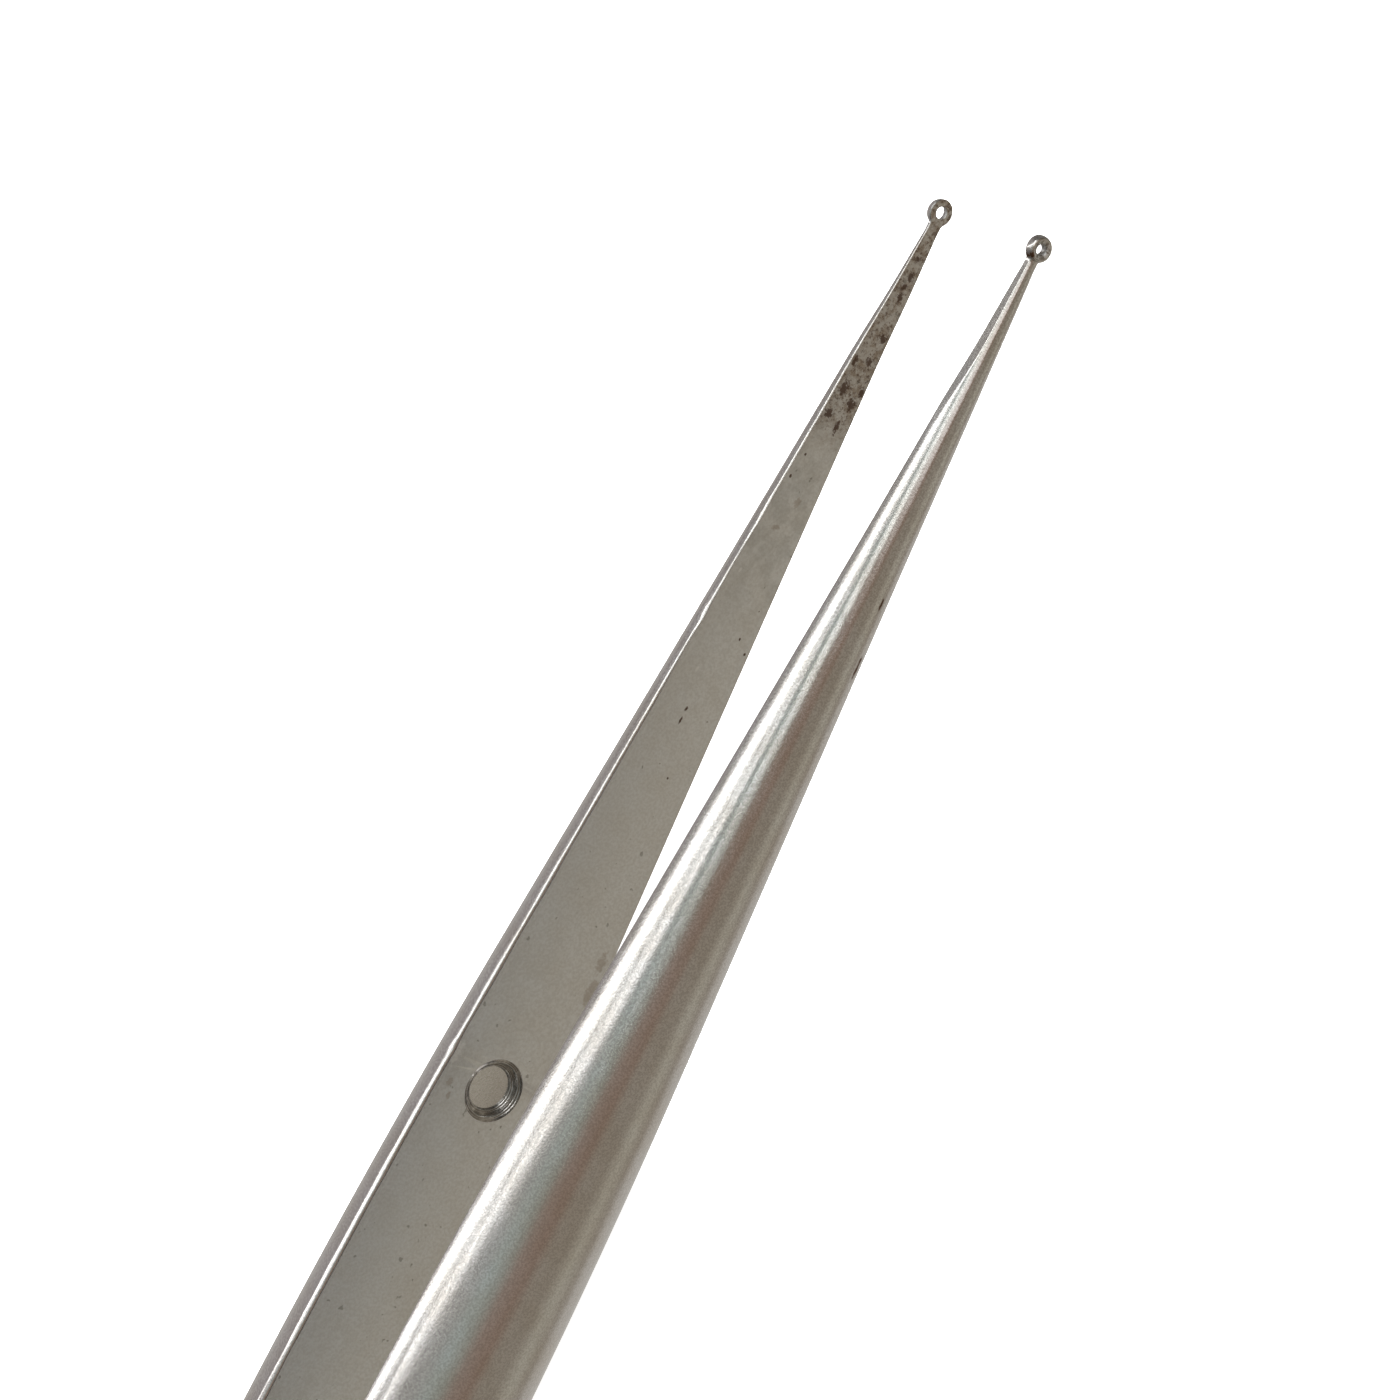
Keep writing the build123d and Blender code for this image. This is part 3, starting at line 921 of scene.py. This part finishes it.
def make_floor():
    """Wide white floor just under the part. It glows, so that it stays white."""
    material, tree, shader, vector = new_material("floor_white")
    tone = remap(tree, noise_node(tree, vector, 0.02, 3), 0.3, 0.7, 0.86, 0.9)
    put(tree, shader.inputs["Base Color"], tone)
    shader.inputs["Roughness"].default_value = 0.9
    shader.inputs["Emission Color"].default_value = (1, 1, 1, 1)
    shader.inputs["Emission Strength"].default_value = 0.88
    half = 4000.0
    corners = [(-half, -half, -0.02), (half, -half, -0.02), (half, half, -0.02), (-half, half, -0.02)]
    floor = new_piece("floor", corners, [(0, 1, 2, 3)], material)
    floor.visible_glossy = False


def area_light(name, radiance, size, place, aim=None, turn=0, in_metal=True):
    """Rectangular soft light that faces straight down unless it is aimed.

    Radiance is its brightness as seen in a mirror. Turn is in degrees, round its own axis.
    """
    data = bpy.data.lights.new(name, "AREA")
    data.shape = "RECTANGLE"
    data.size, data.size_y = size
    data.energy = radiance * math.pi * size[0] * size[1]
    light = bpy.data.objects.new(name, data)
    bpy.context.scene.collection.objects.link(light)
    towards = (Vector(aim or (place[0], place[1], 0.0)) - Vector(place)).normalized()
    spin = Matrix.Rotation(math.radians(turn), 4, "Z")
    facing = towards.to_track_quat("-Z", "Y").to_matrix().to_4x4()
    light.matrix_world = Matrix.Translation(Vector(place)) @ facing @ spin
    light.visible_glossy = in_metal
    light.visible_camera = False


def make_world():
    """Soft grey-beige surroundings, lighter at the back and below than in front."""
    world = bpy.data.worlds.new("studio")
    bpy.context.scene.world = world
    world.use_nodes = True
    tree = world.node_tree
    background = next(n for n in tree.nodes if n.type == "BACKGROUND")
    coordinates = tree.nodes.new("ShaderNodeTexCoord")
    split = tree.nodes.new("ShaderNodeSeparateXYZ")
    tree.links.new(coordinates.outputs["Generated"], split.inputs[0])
    front = math_node(tree, "MULTIPLY", split.outputs["Y"], -1.0)
    angle = math_node(tree, "ARCTAN2", front, split.outputs["Z"])
    share = remap(tree, angle, -math.pi, math.pi, smooth=False)
    ramp = tree.nodes.new("ShaderNodeValToRGB")
    tree.links.new(share, ramp.inputs[0])
    # degrees round the X axis: 0 is straight up, 90 is the front (-Y) and 180 is straight down
    stops = (
        (-180, (0.56, 0.53, 0.49)),
        (-130, (0.58, 0.56, 0.53)),
        (-60, (0.4, 0.37, 0.37)),
        (20, (0.42, 0.43, 0.42)),
        (34, (0.43, 0.48, 0.46)),
        (50, (0.34, 0.35, 0.31)),
        (62, (0.33, 0.26, 0.22)),
        (84, (0.29, 0.21, 0.165)),
        (95, (0.33, 0.29, 0.24)),
        (120, (0.32, 0.28, 0.23)),
        (141, (0.48, 0.45, 0.38)),
        (163, (0.36, 0.32, 0.27)),
        (180, (0.56, 0.53, 0.49)),
    )
    elements = ramp.color_ramp.elements
    while len(elements) < len(stops):
        elements.new(0.5)
    for element, (degrees, colour) in zip(elements, stops):
        element.position = (degrees + 180) / 360
        element.color = (*colour, 1)
    tree.links.new(ramp.outputs[0], background.inputs["Color"])
    endways = math_node(tree, "ABSOLUTE", split.outputs["X"])
    put(tree, background.inputs["Strength"], remap(tree, endways, 0.35, 0.75, 1.0, 0.45))


def make_camera():
    """Long lens, from the front and above. The tips are in the picture and the rear runs out of it."""
    data = bpy.data.cameras.new("camera")
    data.lens = 117.26
    data.sensor_width = 36.0
    data.clip_start = 0.01
    camera = bpy.data.objects.new("camera", data)
    bpy.context.scene.collection.objects.link(camera)
    tips = Vector((RING_X, 0, AXIS_Z))
    forward = Vector((-0.030, 0.797, -0.604)).normalized()
    right = forward.cross(Vector((0.889, 0.297, 0.348))).normalized()
    up = right.cross(forward)
    turn = Matrix((right, up, -forward)).transposed().to_4x4()
    camera.matrix_world = Matrix.Translation((tips + Vector((-21.724, -190.672, 147.238))) * MM) @ turn
    bpy.context.scene.camera = camera


make_floor()
make_world()
area_light("floor_light", 5.0, (1.4, 1.4), (0.0, 0.1, 0.9), aim=(0.0, 0.0, 0.0), in_metal=False)
area_light("broad_strip", 3.2, (1.1, 0.085), (0.10, 0.11, 0.6), turn=-64)
area_light("thin_strip_rear", 2.6, (0.53, 0.035), (0.015, -0.015, 0.6), turn=-67)
area_light("thin_strip_front", 3.0, (0.41, 0.03), (0.175, -0.63, 0.6), turn=-80)
area_light("end_light", 2.4, (0.3, 0.3), (0.5, -0.21, 0.6))
area_light("tip_light", 0.85, (0.125, 0.11), (0.160, -0.13, 0.085), aim=(0.160, 0.0, 0.0045))
make_camera()
bpy.context.scene.view_settings.view_transform = "Standard"
